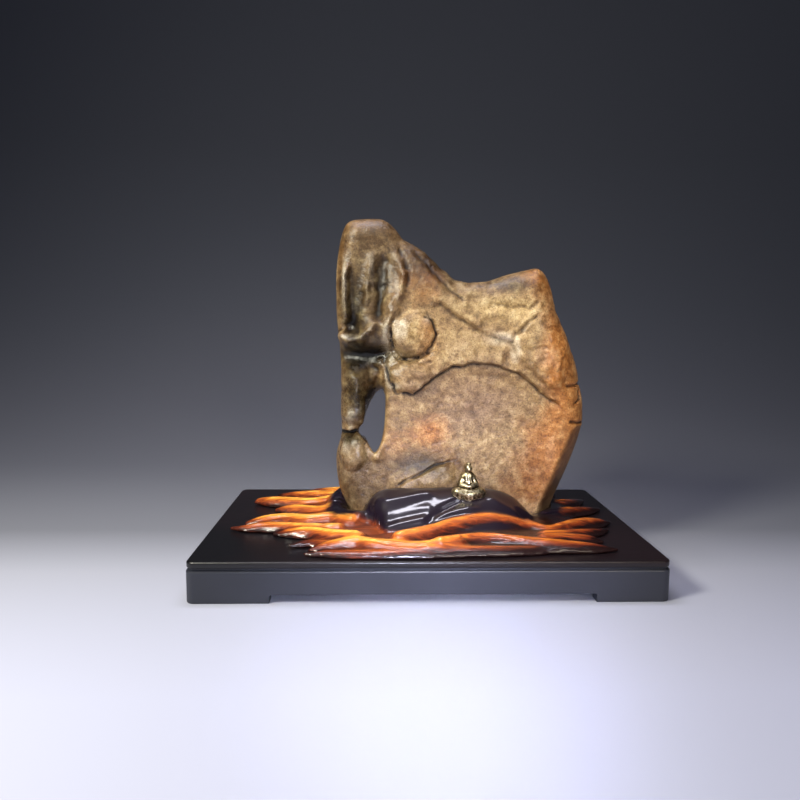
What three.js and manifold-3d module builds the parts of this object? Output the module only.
// River stone standing in a carved wood stand on a lacquered plinth, with a small seated figure.
// Millimetres, +Z up, X along the plinth's length, front towards -Y,
// origin at the centre of the plinth's underside.
import * as THREE from 'three';
import Module from 'manifold-3d';

const wasm = await Module();
wasm.setup();

// Plinth
const PLINTH_LENGTH = 400;
const PLINTH_DEPTH = 240;
const PLINTH_HEIGHT = 35;
const BOARD_THICK = 5.8;
const BOARD_INSET = 0.4;
const CORNER_RADIUS = 7;
const APRON_HEIGHT = 27.2;
const APRON_THICK = 12;
const REBATE_DEPTH = 2.6;
const LEFT_FOOT = 68;
const RIGHT_FOOT = 62;
const SIDE_FOOT = 42;
const NOTCH_HEIGHT = 7.5;
const GAP = 0.3;

// Stone
const STONE_MID_Y = 20;
const STONE_HALF_THICK = 37;
const STONE_BOTTOM = 38.7;
const STONE_STEP = 2.6;
const STONE_TRIANGLES = 4700;

// Stand
const STAND_FLOOR = PLINTH_HEIGHT + GAP;
const STAND_STEP = 2.4;
const STAND_TRIANGLES = 3300;
const SOCKET_GAP = 0.4;

// Figure
const FIGURE_X = 41;
const FIGURE_Y = -33;
const FIGURE_Z = 69;
const FIGURE_STEP = 0.75;
const FIGURE_TRIANGLES = 1000;

// Small maths

const clamp = (v, lo, hi) => Math.min(hi, Math.max(lo, v));
const mix = (a, b, t) => a + (b - a) * t;

function smoothstep(a, b, v) {
  const t = clamp((v - a) / (b - a), 0, 1);
  return t * t * (3 - 2 * t);
}

function smoothMax(a, b, k) {
  const h = Math.max(k - Math.abs(a - b), 0) / k;
  return Math.max(a, b) + h * h * k * 0.25;
}

const smoothMin = (a, b, k) => -smoothMax(-a, -b, k);

// Value of a table of [key, value] rows at v, straight between the rows.
function lookUp(table, v) {
  if (v <= table[0][0]) return table[0][1];
  for (let i = 1; i < table.length; i++) {
    const [k1, v1] = table[i];
    const [k0, v0] = table[i - 1];
    if (v <= k1) return mix(v0, v1, (v - k0) / (k1 - k0));
  }
  return table[table.length - 1][1];
}

// Nearest place on an open line: distance, place 0-1 along it, side (+ on the left) and segment.
function nearest(line, x, y) {
  let best = Infinity;
  let found = { segment: 0, part: 0, side: 1 };
  for (let i = 0; i + 1 < line.length; i++) {
    const [ax, ay] = line[i];
    const ex = line[i + 1][0] - ax;
    const ey = line[i + 1][1] - ay;
    const part = clamp(((x - ax) * ex + (y - ay) * ey) / (ex * ex + ey * ey), 0, 1);
    const dx = x - ax - ex * part;
    const dy = y - ay - ey * part;
    const square = dx * dx + dy * dy;
    if (square < best) {
      best = square;
      found = { segment: i, part, side: ex * (y - ay) - ey * (x - ax) >= 0 ? 1 : -1 };
    }
  }
  found.distance = Math.sqrt(best);
  found.along = (found.segment + found.part) / (line.length - 1);
  return found;
}

// Signed distance to a closed outline, negative inside.
function outlineDistance(outline, x, y) {
  let best = Infinity;
  let inside = false;
  for (let i = 0, j = outline.length - 1; i < outline.length; j = i++) {
    const [ax, ay] = outline[i];
    const [bx, by] = outline[j];
    const ex = bx - ax;
    const ey = by - ay;
    const part = clamp(((x - ax) * ex + (y - ay) * ey) / (ex * ex + ey * ey), 0, 1);
    const dx = x - ax - ex * part;
    const dy = y - ay - ey * part;
    best = Math.min(best, dx * dx + dy * dy);
    if (ay > y !== by > y && x < ax + (ex * (y - ay)) / ey) inside = !inside;
  }
  return inside ? -Math.sqrt(best) : Math.sqrt(best);
}

// Meshes from fields

// Closed mesh of the places where the field is below zero, one point in each cell it crosses.
function meshField(field, low, high, step) {
  const n = [0, 1, 2].map((k) => Math.ceil((high[k] - low[k]) / step) + 1);
  const at = (i, j, k) => (i * n[2] + k) * n[1] + j;
  const value = new Float32Array(n[0] * n[1] * n[2]);
  for (let i = 0; i < n[0]; i++) {
    for (let k = 0; k < n[2]; k++) {
      for (let j = 0; j < n[1]; j++) {
        value[at(i, j, k)] = field(low[0] + i * step, low[1] + j * step, low[2] + k * step);
      }
    }
  }
  removeTies(value, n, at);
  const pointOf = new Int32Array(value.length).fill(-1);
  const points = [];
  for (let i = 0; i + 1 < n[0]; i++) {
    for (let k = 0; k + 1 < n[2]; k++) {
      for (let j = 0; j + 1 < n[1]; j++) {
        const place = cellPoint(value, at, i, j, k);
        if (!place) continue;
        pointOf[at(i, j, k)] = points.length;
        const start = place.map((v, axis) => low[axis] + v * step);
        points.push(settle(field, start, step));
      }
    }
  }
  const faces = [];
  const addQuad = (a, b, c, d, flip) => {
    const quad = flip ? [d, c, b, a] : [a, b, c, d];
    const short = gapBetween(points[quad[0]], points[quad[2]]) < gapBetween(points[quad[1]], points[quad[3]]);
    if (short) faces.push([quad[0], quad[1], quad[2]], [quad[0], quad[2], quad[3]]);
    else faces.push([quad[1], quad[2], quad[3]], [quad[1], quad[3], quad[0]]);
  };
  for (let i = 1; i + 1 < n[0]; i++) {
    for (let k = 1; k + 1 < n[2]; k++) {
      for (let j = 1; j + 1 < n[1]; j++) {
        const here = value[at(i, j, k)] < 0;
        const p = (di, dj, dk) => pointOf[at(i - di, j - dj, k - dk)];
        if (here !== value[at(i + 1, j, k)] < 0) addQuad(p(0, 1, 1), p(0, 0, 1), p(0, 0, 0), p(0, 1, 0), !here);
        if (here !== value[at(i, j + 1, k)] < 0) addQuad(p(1, 0, 1), p(1, 0, 0), p(0, 0, 0), p(0, 0, 1), !here);
        if (here !== value[at(i, j, k + 1)] < 0) addQuad(p(1, 1, 0), p(0, 1, 0), p(0, 0, 0), p(1, 0, 0), !here);
      }
    }
  }
  return { points, faces };
}

// Flips the weakest corner of each grid face that is below zero on one diagonal only, since the
// surface would meet itself there.
function removeTies(value, n, at) {
  const steps = [at(1, 0, 0), at(0, 1, 0), at(0, 0, 1)];
  for (let pass = 0; pass < 8; pass++) {
    let flips = 0;
    for (let i = 0; i + 1 < n[0]; i++) {
      for (let k = 0; k + 1 < n[2]; k++) {
        for (let j = 0; j + 1 < n[1]; j++) {
          const c = at(i, j, k);
          for (let axis = 0; axis < 3; axis++) {
            const u = steps[axis];
            const w = steps[(axis + 1) % 3];
            const here = value[c] < 0;
            if (here !== value[c + u + w] < 0 || value[c + u] < 0 === here || value[c + w] < 0 === here) continue;
            const corners = [c, c + u, c + w, c + u + w];
            corners.sort((a, b) => Math.abs(value[a]) - Math.abs(value[b]));
            value[corners[0]] = value[corners[0]] < 0 ? 0.01 : -0.01;
            flips++;
          }
        }
      }
    }
    if (flips === 0) return;
  }
}

// Mean of the crossings on a cell's twelve edges, in cells, or null if it has none.
function cellPoint(value, at, i, j, k) {
  const sum = [0, 0, 0];
  let count = 0;
  for (let axis = 0; axis < 3; axis++) {
    for (let corner = 0; corner < 4; corner++) {
      const from = [0, 0, 0];
      from[(axis + 1) % 3] = corner & 1;
      from[(axis + 2) % 3] = corner >> 1;
      const to = from.slice();
      to[axis] = 1;
      const a = value[at(i + from[0], j + from[1], k + from[2])];
      const b = value[at(i + to[0], j + to[1], k + to[2])];
      if (a < 0 === b < 0) continue;
      const part = a / (a - b);
      from[axis] = part;
      for (let m = 0; m < 3; m++) sum[m] += from[m];
      count++;
    }
  }
  return count ? [i + sum[0] / count, j + sum[1] / count, k + sum[2] / count] : null;
}

const gapBetween = (a, b) => (a[0] - b[0]) ** 2 + (a[1] - b[1]) ** 2 + (a[2] - b[2]) ** 2;

// Moves a point onto the field's zero surface, by no more than half a step.
function settle(field, start, step) {
  const e = step * 0.1;
  let [x, y, z] = start;
  for (let turn = 0; turn < 2; turn++) {
    const f = field(x, y, z);
    const gx = (field(x + e, y, z) - field(x - e, y, z)) / (2 * e);
    const gy = (field(x, y + e, z) - field(x, y - e, z)) / (2 * e);
    const gz = (field(x, y, z + e) - field(x, y, z - e)) / (2 * e);
    const size = Math.max(gx * gx + gy * gy + gz * gz, 0.05);
    x -= (f * gx) / size;
    y -= (f * gy) / size;
    z -= (f * gz) / size;
  }
  const half = step * 0.5;
  return [
    clamp(x, start[0] - half, start[0] + half),
    clamp(y, start[1] - half, start[1] + half),
    clamp(z, start[2] - half, start[2] + half),
  ];
}

// Fewer triangles

function faceNormal(a, b, c) {
  const u = [b[0] - a[0], b[1] - a[1], b[2] - a[2]];
  const v = [c[0] - a[0], c[1] - a[1], c[2] - a[2]];
  return [u[1] * v[2] - u[2] * v[1], u[2] * v[0] - u[0] * v[2], u[0] * v[1] - u[1] * v[0]];
}

// Squared-distance sum of a point to the planes gathered in a quadric.
function quadricCost(q, [x, y, z]) {
  return (
    q[0] * x * x + 2 * q[1] * x * y + 2 * q[2] * x * z + 2 * q[3] * x +
    q[4] * y * y + 2 * q[5] * y * z + 2 * q[6] * y +
    q[7] * z * z + 2 * q[8] * z + q[9]
  );
}

// Place with the least cost, or null where the planes don't fix one.
function quadricBest(q) {
  const [a, b, c, d, e, f, g, h, i] = q;
  const det = a * (e * h - f * f) - b * (b * h - f * c) + c * (b * f - e * c);
  if (Math.abs(det) < 1e-4) return null;
  const x = -(d * (e * h - f * f) - b * (g * h - f * i) + c * (g * f - e * i)) / det;
  const y = -(a * (g * h - i * f) - d * (b * h - f * c) + c * (b * i - g * c)) / det;
  const z = -(a * (e * i - f * g) - b * (b * i - g * c) + d * (b * f - e * c)) / det;
  return [x, y, z];
}

// Joins the ends of the cheapest edges until the wanted number of triangles is left.
function simplify(mesh, wanted) {
  const points = mesh.points.map((p) => p.slice());
  const faces = mesh.faces.map((f) => f.slice());
  const around = points.map(() => new Set());
  const quadric = points.map(() => new Float64Array(10));
  const stamp = new Uint32Array(points.length);
  faces.forEach((face, index) => {
    const [a, b, c] = face.map((v) => points[v]);
    const n = faceNormal(a, b, c);
    const size = Math.hypot(...n) || 1e-12;
    const [nx, ny, nz] = n.map((v) => v / size);
    const d = -(nx * a[0] + ny * a[1] + nz * a[2]);
    const area = size * 0.5;
    const plane = [nx * nx, nx * ny, nx * nz, nx * d, ny * ny, ny * nz, ny * d, nz * nz, nz * d, d * d];
    for (const v of face) {
      around[v].add(index);
      for (let m = 0; m < 10; m++) quadric[v][m] += plane[m] * area;
    }
  });
  const heap = makeHeap();
  const neighbours = (v) => {
    const set = new Set();
    for (const f of around[v]) for (const w of faces[f]) if (w !== v) set.add(w);
    return set;
  };
  const offer = (a, b) => {
    const q = quadric[a].map((v, m) => v + quadric[b][m]);
    const middle = points[a].map((v, m) => (v + points[b][m]) / 2);
    const length = gapBetween(points[a], points[b]);
    let place = quadricBest(q);
    if (!place || gapBetween(place, middle) > length) place = middle;
    heap.push({ cost: quadricCost(q, place) + length * 1e-5, a, b, place, sa: stamp[a], sb: stamp[b] });
  };
  faces.forEach(([a, b, c]) => {
    if (a < b) offer(a, b);
    if (b < c) offer(b, c);
    if (c < a) offer(c, a);
  });
  const turnsOver = (v, other, place) => {
    for (const f of around[v]) {
      const face = faces[f];
      if (face.includes(other)) continue;
      const before = faceNormal(...face.map((w) => points[w]));
      const after = faceNormal(...face.map((w) => (w === v ? place : points[w])));
      const sizes = Math.hypot(...before) * Math.hypot(...after);
      const dot = before[0] * after[0] + before[1] * after[1] + before[2] * after[2];
      if (sizes < 1e-9 || dot < 0.25 * sizes) return true;
    }
    return false;
  };
  let left = faces.length;
  while (left > wanted && heap.size() > 0) {
    const { a, b, place, sa, sb } = heap.pop();
    if (stamp[a] !== sa || stamp[b] !== sb) continue;
    const ringA = neighbours(a);
    const ringB = neighbours(b);
    const shared = [...ringA].filter((v) => ringB.has(v)).length;
    if (shared !== 2 || turnsOver(a, b, place) || turnsOver(b, a, place)) continue;
    points[a] = place;
    for (let m = 0; m < 10; m++) quadric[a][m] += quadric[b][m];
    for (const f of around[b]) {
      if (faces[f].includes(a)) {
        for (const v of faces[f]) if (v !== b) around[v].delete(f);
        faces[f] = null;
        left--;
      } else {
        faces[f] = faces[f].map((v) => (v === b ? a : v));
        around[a].add(f);
      }
    }
    around[b].clear();
    stamp[a]++;
    stamp[b]++;
    for (const v of neighbours(a)) offer(Math.min(a, v), Math.max(a, v));
  }
  return compact(points, faces.filter(Boolean));
}

// Least-cost-first queue of edges.
function makeHeap() {
  const items = [];
  const swap = (i, j) => {
    [items[i], items[j]] = [items[j], items[i]];
  };
  return {
    size: () => items.length,
    push(item) {
      items.push(item);
      let i = items.length - 1;
      while (i > 0) {
        const up = (i - 1) >> 1;
        if (items[up].cost <= items[i].cost) break;
        swap(i, up);
        i = up;
      }
    },
    pop() {
      const top = items[0];
      const last = items.pop();
      if (items.length > 0) {
        items[0] = last;
        let i = 0;
        for (;;) {
          const l = 2 * i + 1;
          const r = l + 1;
          let least = i;
          if (l < items.length && items[l].cost < items[least].cost) least = l;
          if (r < items.length && items[r].cost < items[least].cost) least = r;
          if (least === i) break;
          swap(i, least);
          i = least;
        }
      }
      return top;
    },
  };
}

// Drops the points that no face uses.
function compact(points, faces) {
  const slot = new Map();
  const kept = [];
  const renumbered = faces.map((face) =>
    face.map((v) => {
      if (!slot.has(v)) {
        slot.set(v, kept.length);
        kept.push(points[v]);
      }
      return slot.get(v);
    }),
  );
  return { points: kept, faces: renumbered };
}

// The same mesh with every point moved outwards.
function inflate(mesh, distance) {
  const normal = mesh.points.map(() => [0, 0, 0]);
  for (const face of mesh.faces) {
    const n = faceNormal(...face.map((v) => mesh.points[v]));
    for (const v of face) for (let m = 0; m < 3; m++) normal[v][m] += n[m];
  }
  const points = mesh.points.map((p, index) => {
    const size = Math.hypot(...normal[index]) || 1;
    return p.map((v, m) => v + (normal[index][m] / size) * distance);
  });
  return { points, faces: mesh.faces };
}

// Solids

function solidFromMesh(mesh) {
  const vertProperties = new Float32Array(mesh.points.flat());
  const triVerts = new Uint32Array(mesh.faces.flat());
  return new wasm.Manifold(new wasm.Mesh({ numProp: 3, vertProperties, triVerts }));
}

function meshFromSolid(solid) {
  const { vertProperties, triVerts, numProp } = solid.getMesh();
  const points = [];
  for (let i = 0; i < vertProperties.length; i += numProp) {
    points.push([vertProperties[i], vertProperties[i + 1], vertProperties[i + 2]]);
  }
  const faces = [];
  for (let i = 0; i < triVerts.length; i += 3) {
    faces.push([triVerts[i], triVerts[i + 1], triVerts[i + 2]]);
  }
  return { points, faces };
}

// Indexed mesh of a three.js geometry, equal corners joined.
function meshFromGeometry(geometry) {
  const flat = geometry.index ? geometry.toNonIndexed() : geometry;
  const position = flat.attributes.position;
  const slot = new Map();
  const points = [];
  const order = [];
  for (let i = 0; i < position.count; i++) {
    const p = [position.getX(i), position.getY(i), position.getZ(i)];
    const key = p.map((v) => Math.round(v * 1e4)).join();
    if (!slot.has(key)) {
      slot.set(key, points.length);
      points.push(p);
    }
    order.push(slot.get(key));
  }
  const faces = [];
  for (let i = 0; i < order.length; i += 3) {
    const [a, b, c] = order.slice(i, i + 3);
    if (a !== b && b !== c && c !== a) faces.push([a, b, c]);
  }
  return { points, faces };
}

const solidFromGeometry = (geometry) => solidFromMesh(meshFromGeometry(geometry));

// The mesh with its points on a fine grid, so that the slivers a cut leaves are gone.
function weld(mesh, grid) {
  const slot = new Map();
  const points = [];
  const number = mesh.points.map((p) => {
    const rounded = p.map((v) => Math.round(v / grid) * grid);
    const key = p.map((v) => Math.round(v / grid)).join();
    if (!slot.has(key)) {
      slot.set(key, points.length);
      points.push(rounded);
    }
    return slot.get(key);
  });
  const kept = new Map();
  for (const face of mesh.faces) {
    const [a, b, c] = face.map((v) => number[v]);
    if (a === b || b === c || c === a) continue;
    const key = [a, b, c].sort((m, n) => m - n).join();
    if (kept.has(key)) kept.delete(key);
    else kept.set(key, [a, b, c]);
  }
  return compact(points, [...kept.values()]);
}

function part(name, mesh, colour, roughness, metalness) {
  const geometry = new THREE.BufferGeometry();
  geometry.setAttribute('position', new THREE.Float32BufferAttribute(mesh.points.flat(), 3));
  geometry.setIndex(mesh.faces.flat());
  geometry.computeVertexNormals();
  const material = new THREE.MeshStandardMaterial({ color: colour, roughness, metalness });
  const body = new THREE.Mesh(geometry, material);
  body.name = name;
  return body;
}

// Stone

// Silhouette seen from the front, [x, z], clockwise; the lower end is cut off level further down.
const STONE_OUTLINE = [
  [-62, 325.6], [-69, 324.8], [-74.5, 322], [-79, 313], [-82, 300], [-84, 286], [-85, 272], [-85, 252],
  [-84.5, 229], [-83, 218], [-82, 205], [-81, 188], [-80, 167], [-80, 145], [-80, 122], [-81.5, 113],
  [-85, 101], [-85, 86], [-82, 68], [-76, 52], [-68, 38], [-60, 22], [-40, 10], [30, 8], [110, 10],
  [121, 27], [133, 45], [143, 68], [153, 95], [157, 114], [158.6, 135], [157, 157], [154, 168],
  [151, 183], [147, 196], [138, 214], [130, 231], [125, 248], [122, 264], [118, 273], [113, 279.5],
  [108, 282], [103, 281], [90, 278], [77, 274.5], [65, 270], [52, 267.4], [37, 267], [28, 269],
  [20, 275], [9, 285], [-2, 296], [-13, 303], [-21, 307], [-27, 315], [-34, 322], [-41, 325.8],
  [-50, 326.4],
];

// Mouth of the eroded hole on the front face and its narrower throat further back, [x, z].
const HOLE_FRONT = [
  [-41, 190], [-39, 187], [-38, 180], [-37, 159], [-38, 137], [-39, 125], [-41, 115], [-44, 108],
  [-47, 105], [-50, 109], [-54, 116], [-60, 122], [-66, 125], [-58, 132], [-56, 143], [-57, 155],
  [-57, 167], [-54, 173], [-51, 182], [-46, 189],
];
const HOLE_THROAT = [
  [-40, 162], [-37, 155], [-37, 144], [-37, 131], [-39, 118], [-41, 108], [-44, 100], [-47, 97],
  [-51, 101], [-54, 109], [-57, 114], [-61, 115], [-66, 116], [-68, 119], [-62, 123], [-58, 127],
  [-57, 132], [-55, 139], [-51, 149], [-46, 158],
];

// Swellings and hollows of the front face: x, z, half widths, height (negative is a hollow).
const FRONT_SWELLS = [
  [-58, 252, 20, 36, -4.5],
  [-67, 244, 8, 26, -6],
  [-69, 225, 8, 9, -7],
  [-60, 197, 22, 9, -9],
  [-36, 200, 8, 10, -3],
  [-52, 183, 9, 13, -7],
  [108, 248, 16, 10, 2.5],
  [56, 205, 60, 26, 1.5],
  [40, 130, 70, 45, -2],
  [128, 150, 22, 30, 2],
  [2, 70, 34, 15, 2.5],
  [62, 250, 36, 14, -2.5],
  [-45, 311, 26, 12, 2],
  [-72, 76, 14, 20, 2],
];

// Puffed lumps of the front face, steep at their rims: x, z, half widths, height.
const FRONT_LUMPS = [
  [-11, 218, 22, 22, 8],
  [-14, 178, 21, 17, 6.5],
  [-68, 103, 14, 17, 6],
  [112, 206, 32, 40, 4.5],
  [6, 76, 40, 20, 3.5],
];

// Raised and sunk lines of the front face: width, height, then [x, z] places.
const FRONT_LINES = [
  [3.8, 6, [[-75, 286], [-76, 260], [-75.8, 238], [-73.5, 226]]],
  [4.2, 3.5, [[-48, 295], [-51.5, 277], [-54, 259], [-56, 241]]],
  [5, -5.5, [[-38, 294], [-41, 272], [-43, 250], [-46, 228]]],
  [5.5, 5, [[-29, 296], [-21, 274], [-25, 257], [-29.5, 246], [-34, 230], [-36.5, 213]]],
  [3, -2, [[-26, 300], [-16, 277], [-19, 260]]],
  [5, 7, [[-82, 220], [-78.5, 215.5], [-72.5, 211.5], [-61.5, 213], [-50.5, 222], [-45, 231]]],
  [6, -5, [[-84, 200], [-61, 197], [-39, 200.5], [-33, 196]]],
  [9, 4.5, [[-66, 184], [-68.5, 157], [-70.5, 131]]],
  [6, -6, [[-45, 189], [-49, 171], [-54, 150]]],
  [2.8, -7, [[-88, 121], [-78, 121.5], [-69, 122.5], [-62, 126]]],
  [4, 2.5, [[-54, 117], [-45, 102.5], [-39, 114]]],
  [2.2, -3, [[-2.5, 241], [7, 230], [9.7, 219], [6, 206], [-2, 198], [-15, 193], [-25, 195], [-32, 206],
    [-33, 222.5], [-29, 238]]],
  [2.6, -1.8, [[108, 238], [94, 229], [84, 218], [81.5, 208]]],
  [2.4, -1.3, [[62, 246], [82.5, 244], [97.5, 243], [106, 250]]],
  [3, -2.2, [[-14, 299], [2.5, 281], [13.5, 268.5], [21, 259.5], [38, 248.5]]],
  [2, -1.9, [[-4, 235], [5, 231], [12, 223]]],
  [2, -1.4, [[-8, 192], [-1, 191], [8, 191.5]]],
  [2.4, -2.6, [[134, 169], [144, 171], [156, 171.5]]],
  [2.4, -2.4, [[142, 152], [149.7, 156], [151, 168]]],
  [2.4, -2.6, [[138, 136], [146, 134], [158, 132]]],
];

// Ledges of the front face: rise, width of the step, reach of the raised side, crack depth, [x, z] places.
// The raised side is on the left of the line's run.
const FRONT_LEDGES = [
  [4.4, 2.4, 24, 2.4, [[-37, 192], [-35.8, 184], [-33.5, 172.5], [-25, 162.5], [-11, 160.5], [0, 170],
    [11.5, 179.5], [26, 187], [44.5, 190], [69, 188], [88, 180.5], [105.5, 168], [121, 155.5], [139, 143]]],
  [3.6, 4, 44, 0.7, [[-8, 243], [14, 247], [29, 235], [51.5, 221.5], [70, 214], [82.5, 210], [88, 196.5],
    [99.5, 184.5], [117, 170.5], [136, 166]]],
  [2.6, 2.4, 26, 2.4, [[29, 96], [10.7, 92.6], [-4.4, 84.3], [-18.5, 77], [-26, 71]]],
];

// Back face: broad swells, and long shelves of the same worn kind as the front's.
const BACK_SWELLS = [
  [-52, 250, 20, 46, -5],
  [-56, 130, 14, 40, -4],
  [20, 220, 44, 30, 5],
  [96, 180, 40, 44, 4],
  [20, 110, 60, 34, -5],
  [70, 70, 40, 22, 3],
  [112, 92, 50, 60, -9],
  [-34, 76, 36, 46, 6],
  [-6, 206, 60, 40, 7],
  [116, 262, 40, 36, -8],
  [-58, 300, 34, 44, -7],
];
const BACK_LEDGES = [
  [4.5, 3, 36, 2, [[128, 120], [96, 134], [60, 138], [24, 130], [-14, 140], [-34, 160]]],
  [3.5, 3, 30, 1.8, [[118, 226], [84, 214], [48, 226], [10, 246], [-14, 276]]],
];

// The lower right of the front face ends in an edge, [z, x], with a flatter flank behind it.
const FLANK_EDGE = [[30, 108], [42, 112], [54, 114.5], [71, 122], [88, 129], [108, 137], [127, 145], [160, 176]];
const FLANK_NORMAL = [0.84, -0.543];

function smoothClosed(outline, parts) {
  const curve = new THREE.CatmullRomCurve3(
    outline.map(([x, z]) => new THREE.Vector3(x, z, 0)), true, 'centripetal');
  return curve.getPoints(outline.length * parts).slice(0, -1).map((p) => [p.x, p.y]);
}

// Signed distance to the silhouette on a grid, softened so that it has no ridge down its middle.
function makeEdgeMap() {
  const step = 2;
  const low = [-130, -10];
  const nx = 170;
  const nz = 190;
  const outline = smoothClosed(STONE_OUTLINE, 3);
  let map = new Float64Array(nx * nz);
  for (let i = 0; i < nx; i++) {
    for (let k = 0; k < nz; k++) {
      map[i * nz + k] = outlineDistance(outline, low[0] + i * step, low[1] + k * step);
    }
  }
  for (let pass = 0; pass < 4; pass++) {
    const next = map.slice();
    for (let i = 1; i < nx - 1; i++) {
      for (let k = 1; k < nz - 1; k++) {
        const c = i * nz + k;
        next[c] = map[c] * 0.5 + (map[c - 1] + map[c + 1] + map[c - nz] + map[c + nz]) * 0.125;
      }
    }
    map = next;
  }
  return (x, z) => {
    const u = clamp((x - low[0]) / step, 0, nx - 1.001);
    const v = clamp((z - low[1]) / step, 0, nz - 1.001);
    const i = Math.floor(u);
    const k = Math.floor(v);
    const c = i * nz + k;
    const near = mix(map[c], map[c + 1], v - k);
    const far = mix(map[c + nz], map[c + nz + 1], v - k);
    return mix(near, far, u - i);
  };
}

function swellHeight(swells, x, z) {
  let height = 0;
  for (const [cx, cz, rx, rz, rise] of swells) {
    height += rise * Math.exp(-(((x - cx) / rx) ** 2) - ((z - cz) / rz) ** 2);
  }
  return height;
}

function lumpHeight(lumps, x, z) {
  let height = 0;
  for (const [cx, cz, rx, rz, rise] of lumps) {
    const r = Math.hypot((x - cx) / rx, (z - cz) / rz);
    height += rise * (1 - Math.min(r, 1) ** 3);
  }
  return height;
}

function lineHeight(lines, x, z) {
  let height = 0;
  for (const [width, rise, line] of lines) {
    const { distance, along } = nearest(line, x, z);
    if (distance > width * 3) continue;
    const ends = smoothstep(-0.02, 0.14, along) * smoothstep(1.02, 0.86, along);
    height += rise * Math.exp(-((distance / width) ** 2)) * ends;
  }
  return height;
}

function ledgeHeight(ledges, x, z) {
  let height = 0;
  for (const [rise, width, reach, crack, line] of ledges) {
    const { distance, along, side } = nearest(line, x, z);
    const ends = smoothstep(0, 0.12, along) * smoothstep(1, 0.88, along);
    const signed = distance * side;
    const step = smoothstep(-width, width, signed) * Math.exp(-((Math.max(signed, 0) / reach) ** 2));
    height += (rise * step - crack * Math.exp(-((distance / width) ** 2))) * ends;
  }
  return height;
}

// Stone field: a rounded slab of changing thickness with relief on both faces and an eroded hole.
function makeStoneField() {
  const edgeAt = makeEdgeMap();
  let column = null;
  const columnAt = (x, z) => {
    const dome = smoothstep(235, 300, z) * smoothstep(10, -30, x);
    const low = smoothstep(110, 50, z);
    const wave = 1.6 * Math.sin(x * 0.05 + z * 0.021 + 1) + 1.2 * Math.sin(z * 0.047 - x * 0.018);
    return {
      x,
      z,
      edge: edgeAt(x, z),
      half: STONE_HALF_THICK - 8 * dome - 3 * low,
      rim: mix(mix(26, 19, dome), 20, low),
      backRim: mix(mix(35, 24, dome), 26, low),
      middle: STONE_MID_Y + wave * 0.5,
      front: swellHeight(FRONT_SWELLS, x, z) + lumpHeight(FRONT_LUMPS, x, z) + lineHeight(FRONT_LINES, x, z)
        + ledgeHeight(FRONT_LEDGES, x, z) + wave * 0.4,
      back: swellHeight(BACK_SWELLS, x, z) + ledgeHeight(BACK_LEDGES, x, z),
      mouth: outlineDistance(HOLE_FRONT, x, z),
      throat: outlineDistance(HOLE_THROAT, x, z),
      flank: x - lookUp(FLANK_EDGE, z),
      bottom: STONE_BOTTOM + 6.5 * Math.exp(-(((x - 26) / 46) ** 2)),
    };
  };
  return (x, y, z) => {
    if (!column || column.x !== x || column.z !== z) column = columnAt(x, z);
    const c = column;
    const frontness = smoothstep(c.middle - 4, c.middle - 24, y);
    const backness = smoothstep(c.middle + 4, c.middle + 24, y);
    const relief = c.front * frontness + c.back * backness;
    const rim = y < c.middle ? c.rim : c.backRim;
    const across = c.edge + rim;
    const through = Math.abs(y - c.middle) - (c.half - rim);
    let f = Math.min(Math.max(across, through), 0) + Math.hypot(Math.max(across, 0), Math.max(through, 0));
    f -= rim + relief;
    const flank = c.flank * FLANK_NORMAL[0] + (y + 16) * FLANK_NORMAL[1];
    f = smoothMax(f, flank, 4);
    f = smoothMax(f, c.bottom - z, 5);
    const depth = clamp((y + 16) / 40, 0, 1);
    const hole = mix(c.mouth, c.throat, depth) - 0.16 * Math.max(y - 26, 0);
    return smoothMax(f, -hole, 7);
  };
}

function makeStone() {
  const fine = meshField(makeStoneField(), [-96, -41, 32], [170, 80, 334], STONE_STEP);
  return simplify(fine, STONE_TRIANGLES);
}

// Stand

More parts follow.
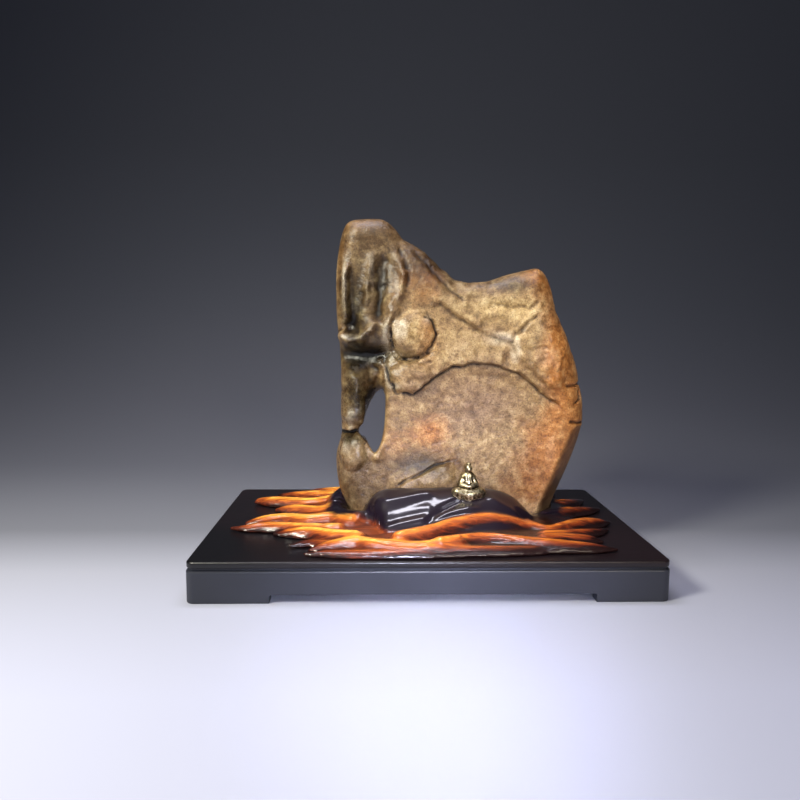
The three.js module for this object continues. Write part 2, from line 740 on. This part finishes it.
// Carved tongues, each a run of [x, y, crest height, half width].
const TONGUES = [
  // spire behind the stone's left foot, running out into the first tongue
  [[-73, 34, 71, 7], [-80, 36, 61, 10], [-88, 40, 52, 12.5], [-97, 43, 47, 12.5], [-113, 38, 46, 12.5],
    [-131, 42, 45.5, 11], [-156, 51, 44, 10], [-171, 54, 41, 4]],
  [[-84, 10, 48, 14], [-96, 8, 46, 12.5], [-111, 12, 45, 11], [-129, 19, 44, 10], [-146, 22, 40, 3.5]],
  [[-69, -37, 50, 12.5], [-86, -24, 49, 14], [-108, -27, 47.5, 12.5], [-130, -19, 46, 12.5], [-150, -20, 44.5, 10],
    [-167, -23, 40, 3.5]],
  [[-80, -50, 46, 8.5], [-106, -46, 45, 8.5], [-128, -40, 44, 9], [-148, -37, 43, 8.5], [-163, -38, 41.5, 7],
    [-181, -35, 38, 3]],
  [[-62, -78, 48, 11], [-83, -69, 46.5, 11], [-100, -58, 45, 10], [-118, -54, 43, 8.5], [-138, -53, 38.5, 3]],
  [[-84, -86, 42, 7], [-101, -80, 40.5, 7], [-115, -84, 39, 4], [-122, -88, 37.5, 3]],
  [[24, -93, 48, 11], [-9, -102, 46, 11], [-43, -96, 46.5, 12.5], [-62, -88, 45.5, 11], [-82, -91, 44, 10],
    [-100, -97, 39.5, 3.5]],
  [[36, -107, 39, 4], [0, -109, 41, 7], [-38, -109, 41.5, 7], [-71, -108, 41, 7], [-92, -107, 40, 4],
    [-108, -107, 37.5, 3]],
  [[-25, -88, 51, 11], [2, -77, 53, 11], [23, -66, 55.5, 11], [54, -56, 56, 11], [75, -53, 52.5, 10.5],
    [92, -51, 48, 10], [112, -53, 43, 7]],
  [[9, -97, 48.5, 10], [33, -86, 47.5, 11], [53, -82, 47, 11], [71, -86, 46.5, 11], [89, -90, 45.5, 11],
    [107, -94, 45, 11], [125, -95, 44, 10], [143, -96, 42, 7.5], [162, -97, 38, 3]],
  [[-25, -108, 42, 7], [12, -104, 43, 8.5], [59, -103, 42.5, 9], [90, -101, 41, 7], [113, -99, 38, 3]],
  [[96, -46, 47, 12.5], [113, -56, 45.5, 11], [138, -39, 45.5, 12.5], [163, -27, 44, 10], [180, -20, 39, 3.5]],
  [[105, -70, 45, 10], [122, -66, 44.5, 10], [138, -60, 43.5, 8.5], [154, -54, 42, 7], [172, -42, 38.5, 3]],
  [[103, -80, 45.5, 10], [118, -77, 45, 10], [142, -75, 43, 8.5], [156, -76, 38.5, 3]],
  [[119, -13, 47, 12.5], [145, 6, 45, 11], [168, 17, 42.5, 8.5], [187, 27, 38.5, 3]],
  [[122, 22, 48, 15.5], [146, 34, 45.5, 12.5], [166, 50, 42, 8.5], [180, 62, 38, 3]],
  [[112, 52, 48, 17], [134, 68, 45, 12.5], [148, 86, 42, 8.5], [156, 102, 38, 3]],
  [[74, 72, 50, 17], [88, 90, 46, 12.5], [108, 104, 42, 8.5], [126, 109, 38, 3]],
  [[22, 74, 50, 17], [36, 94, 45.5, 12.5], [58, 106, 41, 8.5], [72, 111, 38, 3]],
  [[-10, 74, 50, 17], [-22, 92, 46, 12.5], [-44, 104, 42, 8.5], [-64, 110, 38, 3]],
  [[-52, 66, 50, 17], [-70, 82, 47, 14], [-98, 94, 43, 10], [-122, 104, 38, 3.5]],
  [[-76, 56, 50, 14], [-98, 66, 46.5, 12.5], [-128, 74, 44, 10], [-152, 84, 39, 3.5]],
];

// Low sheet under the tongues, out of which only their tips reach, [x, y].
const SKIRT = [
  [-150, 66], [-132, 82], [-96, 98], [-60, 100], [0, 99], [60, 99], [104, 96], [134, 82], [150, 62],
  [158, 44], [150, 30], [160, 14], [148, -2], [156, -18], [156, -34], [144, -50], [142, -66], [132, -82],
  [140, -92], [118, -101], [80, -107], [0, -112.5], [-60, -111.5], [-94, -108], [-96, -96], [-88, -86],
  [-108, -80], [-106, -68], [-124, -58], [-136, -48], [-158, -42], [-158, -28], [-142, -12], [-124, -4],
  [-116, 8], [-134, 16], [-132, 28], [-150, 42], [-152, 54],
];
const SKIRT_LOW = 37.2;
const SKIRT_RISE = 5.4;

// Low mass that closes round the stone's foot.
const COLLAR = [
  [[-62, -30, 52, 11], [-80, -10, 49, 12], [-86, 12, 49, 12], [-80, 34, 56, 11], [-70, 54, 52, 13],
    [-40, 64, 52, 15], [0, 68, 55, 16], [44, 67, 54, 16], [86, 64, 50, 16], [118, 50, 47, 15],
    [130, 24, 46, 13], [122, -4, 45, 12], [112, -30, 45, 12]],
  [[-58, 20, 44, 44], [0, 14, 46, 50], [60, 14, 46, 50], [106, 18, 44, 42]],
];

// Mound in front of the stone: [x, y, crest height, spread of its slope].
const MOUND = [
  [-57, -27, 46, 18], [-52, -25, 60, 24], [-45, -24, 68, 32], [-33, -24, 72, 40], [-4, -24, 72.7, 43],
  [26, -24, 73.2, 43], [45, -24, 73, 43], [66, -24, 71.3, 41], [77, -25, 68.2, 38], [86, -26, 64, 33],
  [96, -27, 54.5, 24], [105, -28, 45, 16],
];
const MOUND_BASE = 33.3;

// Folds and creases of the mound: width, height, then [x, y] places.
const MOUND_FOLDS = [
  [6, 2.2, [[-52, -42], [-45.5, -38.5], [-34, -42.5], [-20, -40], [-3.5, -35], [12, -32]]],
  [5, 1, [[-42.5, -54.5], [-25.5, -55], [-9, -51.5], [8, -49]]],
  [2.8, -3, [[34, -41.5], [31, -43], [23.5, -47], [15.7, -51.5], [5, -59], [-2, -65]]],
  [3.4, 2.4, [[-50, -30.5], [-57.5, -31], [-70, -45], [-80, -54]]],
  [3.2, 2.2, [[-41.5, -36], [-49, -36.5], [-55, -38], [-62, -47.5], [-74, -60]]],
  [4, 2.4, [[-72, -60], [-61, -58], [-33, -66], [-4, -61], [16, -56.5], [37.5, -52], [52, -50]]],
  [3, 1.4, [[58, -37], [70, -43], [83, -46], [92, -50]]],
];

// Field of one tongue: a half-ellipse section that stands on the floor and bulges a little above it.
function tongueField(run, x, y, z, power) {
  const { distance, segment, part } = nearest(run, x, y);
  const crest = mix(run[segment][2], run[segment + 1][2], part);
  const width = mix(run[segment][3], run[segment + 1][3], part);
  const middle = mix(STAND_FLOOR, crest, 0.25);
  const tall = crest - middle;
  const u = distance / width;
  const v = Math.abs(z - middle) / tall;
  const radius = (u ** power + v ** power) ** (1 / power);
  return (radius - 1) * Math.min(width, tall);
}

// The mound's slope is a bell from its crest line outwards, with the folds laid on it.
function moundField(x, y, z) {
  const { distance, segment, part } = nearest(MOUND, x, y);
  const crest = mix(MOUND[segment][2], MOUND[segment + 1][2], part);
  const spread = mix(MOUND[segment][3], MOUND[segment + 1][3], part);
  const top = MOUND_BASE + (crest - MOUND_BASE) * Math.exp(-((distance / spread) ** 1.8));
  return (z - top - lineHeight(MOUND_FOLDS, x, y)) * 0.7;
}

function standField(x, y, z) {
  let f;
  const edge = outlineDistance(SKIRT, x, y);
  const top = SKIRT_LOW + SKIRT_RISE * (1 - Math.exp(Math.min(edge, 0) / 16));
  f = smoothMax(edge * 0.8, z - top, 3);
  for (const run of COLLAR) f = smoothMin(f, tongueField(run, x, y, z, 2.4), 5);
  for (const run of TONGUES) f = smoothMin(f, tongueField(run, x, y, z, 1.6), 2.6);
  f = smoothMin(f, moundField(x, y, z), 4);
  return Math.max(f, STAND_FLOOR - z);
}

function makeStand(stone) {
  const low = [-190, -120.5, STAND_FLOOR - 2.4];
  const fine = meshField(standField, low, [194, 119, 78], STAND_STEP);
  for (const p of fine.points) if (p[2] < STAND_FLOOR + 0.35) p[2] = STAND_FLOOR;
  const plain = simplify(fine, STAND_TRIANGLES);
  for (const p of plain.points) p[2] = Math.max(p[2], STAND_FLOOR);
  const block = solidFromMesh(plain);
  return weld(meshFromSolid(block.subtract(solidFromMesh(inflate(stone, SOCKET_GAP)))), 0.01);
}

// Figure

function ellipsoidField([cx, cy, cz], [rx, ry, rz], x, y, z) {
  const u = Math.hypot((x - cx) / rx, (y - cy) / ry, (z - cz) / rz);
  return (u - 1) * Math.min(rx, ry, rz);
}

function limbField(a, b, ra, rb, x, y, z) {
  const e = [b[0] - a[0], b[1] - a[1], b[2] - a[2]];
  const size = e[0] ** 2 + e[1] ** 2 + e[2] ** 2;
  const t = clamp(((x - a[0]) * e[0] + (y - a[1]) * e[1] + (z - a[2]) * e[2]) / size, 0, 1);
  return Math.hypot(x - a[0] - e[0] * t, y - a[1] - e[1] * t, z - a[2] - e[2] * t) - mix(ra, rb, t);
}

// Seated figure about its own base centre: spread robe, knees, torso, sleeves, joined hands, head, topknot.
function figureField(x, y, z) {
  const side = Math.abs(x);
  const lobes = 1 + 0.06 * Math.cos(5 * Math.atan2(y, x) + 1.6);
  const robe = (Math.hypot(x / (15.4 * lobes), y / (10 * lobes)) - 1) * 10;
  let f = smoothMax(robe, z - 3.8, 5);
  f = smoothMin(f, ellipsoidField([9, -2, 3.8], [6.2, 6, 3.8], side, y, z), 3);
  f = smoothMin(f, ellipsoidField([0.5, -6.2, 1.8], [8, 4.4, 4.6], x, y, z), 3);
  f = smoothMin(f, limbField([0, 1.6, 6], [0, 1.2, 18], 7.4, 3.8, x, y, z), 3);
  f = smoothMin(f, ellipsoidField([0, 1.2, 16.8], [6.5, 4.2, 4.4], x, y, z), 2);
  f = smoothMin(f, limbField([4.4, 0.8, 15.5], [6.6, -0.8, 9.6], 2.6, 3, side, y, z), 2);
  f = smoothMin(f, limbField([6.4, -1.4, 9.4], [1.4, -5.8, 8.4], 2.8, 2, side, y, z), 1.4);
  f = smoothMin(f, ellipsoidField([0, 0, 24.2], [3.3, 3.5, 4.1], x, y, z), 1.4);
  f = smoothMin(f, ellipsoidField([0, 0.8, 28.6], [1.8, 1.8, 1.8], x, y, z), 0.8);
  return Math.max(f, -z - 6);
}

function makeFigure(stand) {
  const fine = meshField(figureField, [-18.3, -13.3, -8.1], [18.4, 13.4, 32.6], FIGURE_STEP);
  const small = simplify(fine, FIGURE_TRIANGLES);
  small.points = small.points.map(([x, y, z]) => [x + FIGURE_X, y + FIGURE_Y, z + FIGURE_Z]);
  return weld(meshFromSolid(solidFromMesh(small).subtract(solidFromMesh(inflate(stand, GAP)))), 0.01);
}

// Plinth

function roundedRectangle(length, depth, radius) {
  const x = length / 2;
  const y = depth / 2;
  const shape = new THREE.Shape();
  shape.moveTo(-x + radius, -y);
  shape.lineTo(x - radius, -y);
  shape.absarc(x - radius, -y + radius, radius, -Math.PI / 2, 0, false);
  shape.lineTo(x, y - radius);
  shape.absarc(x - radius, y - radius, radius, 0, Math.PI / 2, false);
  shape.lineTo(-x + radius, y);
  shape.absarc(-x + radius, y - radius, radius, Math.PI / 2, Math.PI, false);
  shape.lineTo(-x, -y + radius);
  shape.absarc(-x + radius, -y + radius, radius, Math.PI, Math.PI * 1.5, false);
  return shape;
}

// Upright slab of a flat shape between two heights, its edges rounded by the bevel.
function slab(shape, bottom, top, bevel, bevelSegments) {
  const geometry = new THREE.ExtrudeGeometry(shape, {
    depth: top - bottom - 2 * bevel,
    bevelEnabled: bevel > 0,
    bevelThickness: bevel,
    bevelSize: bevel,
    bevelOffset: -bevel,
    bevelSegments,
    curveSegments: 4,
  });
  geometry.translate(0, 0, bottom + bevel);
  return geometry;
}

function block(x0, x1, y0, y1, z0, z1) {
  const geometry = new THREE.BoxGeometry(x1 - x0, y1 - y0, z1 - z0);
  geometry.translate((x0 + x1) / 2, (y0 + y1) / 2, (z0 + z1) / 2);
  return solidFromGeometry(geometry);
}

// Opening under an apron, its two upper corners rounded, running through along Y.
function notch(x0, x1, y0, y1) {
  const shape = new THREE.Shape();
  shape.moveTo(x0, -1);
  shape.lineTo(x1, -1);
  shape.lineTo(x1, NOTCH_HEIGHT - 2);
  shape.absarc(x1 - 2, NOTCH_HEIGHT - 2, 2, 0, Math.PI / 2, false);
  shape.lineTo(x0 + 2, NOTCH_HEIGHT);
  shape.absarc(x0 + 2, NOTCH_HEIGHT - 2, 2, Math.PI / 2, Math.PI, false);
  const geometry = new THREE.ExtrudeGeometry(shape, { depth: y1 - y0, bevelEnabled: false, curveSegments: 3 });
  geometry.rotateX(Math.PI / 2);
  geometry.translate(0, y1, 0);
  return geometry;
}

function makeBoard() {
  const length = PLINTH_LENGTH - 2 * BOARD_INSET;
  const depth = PLINTH_DEPTH - 2 * BOARD_INSET;
  const outline = roundedRectangle(length, depth, CORNER_RADIUS);
  return meshFromGeometry(slab(outline, PLINTH_HEIGHT - BOARD_THICK, PLINTH_HEIGHT, 1.6, 2));
}

// Ring of the four aprons with its rebate and the openings between the feet.
function makeApronRing() {
  const x = PLINTH_LENGTH / 2;
  const y = PLINTH_DEPTH / 2;
  const outer = roundedRectangle(PLINTH_LENGTH, PLINTH_DEPTH, CORNER_RADIUS);
  const inset = 2 * REBATE_DEPTH;
  const upper = roundedRectangle(PLINTH_LENGTH - inset, PLINTH_DEPTH - inset, CORNER_RADIUS - REBATE_DEPTH);
  let ring = solidFromGeometry(slab(outer, 0, APRON_HEIGHT, 1, 2));
  const tongueTop = PLINTH_HEIGHT - BOARD_THICK - GAP;
  ring = ring.add(solidFromGeometry(slab(upper, APRON_HEIGHT - 4, tongueTop, 0, 1)));
  ring = ring.subtract(block(-x + APRON_THICK, x - APRON_THICK, -y + APRON_THICK, y - APRON_THICK, -1, 40));
  ring = ring.subtract(solidFromGeometry(notch(-x + LEFT_FOOT, x - RIGHT_FOOT, -y - 1, y + 1)));
  const sideways = notch(-y + SIDE_FOOT, y - SIDE_FOOT, -x - 1, x + 1);
  sideways.rotateZ(Math.PI / 2);
  return ring.subtract(solidFromGeometry(sideways));
}

// One apron of the ring, cut out between the two mitres of its side.
function makeApron(ring, turn) {
  const x = PLINTH_LENGTH / 2;
  const y = PLINTH_DEPTH / 2;
  const reach = turn === 'front' || turn === 'back' ? y : x;
  const other = turn === 'front' || turn === 'back' ? x : y;
  const g = GAP * 0.7071;
  const wedge = new THREE.Shape();
  wedge.moveTo(-other - 20 + g, -reach - 20);
  wedge.lineTo(other + 20 - g, -reach - 20);
  wedge.lineTo(other - 30 - g, -reach + 30);
  wedge.lineTo(-other + 30 + g, -reach + 30);
  const geometry = new THREE.ExtrudeGeometry(wedge, { depth: 60, bevelEnabled: false });
  geometry.translate(0, 0, -5);
  geometry.rotateZ({ front: 0, right: Math.PI / 2, back: Math.PI, left: -Math.PI / 2 }[turn]);
  return meshFromSolid(ring.intersect(solidFromGeometry(geometry)));
}

// Whole object

const stone = makeStone();
const stand = makeStand(stone);
const figure = makeFigure(stand);
const ring = makeApronRing();

const model = new THREE.Group();
model.name = 'river_stone_display';
model.add(part('stone', stone, 0x9a7b55, 0.55, 0));
model.add(part('stand', stand, 0x6e2f16, 0.25, 0));
model.add(part('figure', figure, 0xb59a5c, 0.35, 1));
model.add(part('plinth_board', makeBoard(), 0x1b1a1e, 0.35, 0));
for (const turn of ['front', 'back', 'left', 'right']) {
  model.add(part(`apron_${turn}`, makeApron(ring, turn), 0x2b2c33, 0.45, 0));
}

export default model;
